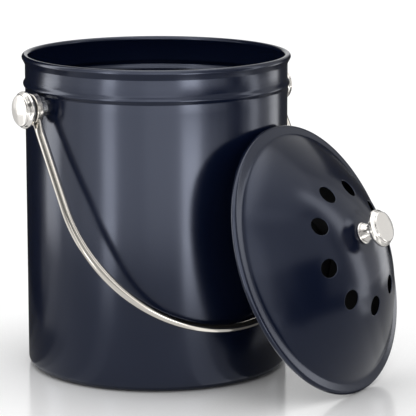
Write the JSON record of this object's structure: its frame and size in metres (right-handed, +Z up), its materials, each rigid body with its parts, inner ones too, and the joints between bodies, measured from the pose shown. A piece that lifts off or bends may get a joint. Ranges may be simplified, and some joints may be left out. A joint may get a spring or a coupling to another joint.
{
  "type": "compost caddy",
  "caption": "Round enamelled steel pail with a rolled rim, a swinging wire bail on knobbed pivots, and a loose domed vented lid with a knob and a charcoal filter inside, leaning on the pail.",
  "frame": {"origin": "middle of the pail's flat base, on the surface it stands on", "axes": "+Z up along the pail's axis; the picture's viewer stands on the -Y side and looks along +Y, with +X to the right"},
  "size_m": [0.2618, 0.2391, 0.2166],
  "materials": {
    "enamel": "glossy dark blue-grey enamel on steel sheet",
    "polished_steel": "polished stainless steel",
    "zinc_steel": "plain stainless steel",
    "black_nylon": "black nylon",
    "seal_rubber": "black rubber",
    "holder_plastic": "black plastic",
    "charcoal_felt": "charcoal felt"
  },
  "bodies": {
    "pail": {"pail_shell": "enamel", "left_knob": "polished_steel", "right_knob": "polished_steel", "left_pivot_screw": "zinc_steel", "right_pivot_screw": "zinc_steel", "left_pivot_sleeve": "polished_steel", "right_pivot_sleeve": "polished_steel", "left_nylon_washer": "black_nylon", "right_nylon_washer": "black_nylon", "left_inner_washer": "zinc_steel", "right_inner_washer": "zinc_steel", "left_seal_washer": "seal_rubber", "right_seal_washer": "seal_rubber"},
    "bail_handle": {"bail": "polished_steel"},
    "lid": {"lid_shell": "enamel", "lid_lip": "enamel", "lid_knob": "polished_steel", "lid_knob_collar": "polished_steel", "lid_knob_screw": "zinc_steel", "lid_knob_washer": "zinc_steel", "filter_holder": "holder_plastic"},
    "filter": {"charcoal_filter": "charcoal_felt"}
  },
  "joints": [
    {"name": "lid_lift_off", "type": "slide", "parent": "pail", "child": "lid", "axis": [0.7844, -0.4997, 0.3673], "range_m": [0, 0.46]},
    {"name": "bail_swing", "type": "hinge", "parent": "pail", "child": "bail_handle", "pos_m": [0, 0, 0.1859], "axis": [-0.8192, -0.5736, 0], "range_deg": [0, 293]},
    {"name": "filter_pull_out", "type": "slide", "parent": "lid", "child": "filter", "axis": [-0.7844, 0.4997, -0.3673], "range_m": [0, 0.024]}
  ],
  "couplings": [
    {"joint": "bail_swing", "follows": "lid_lift_off", "rad_per_m": 11.111}
  ]
}
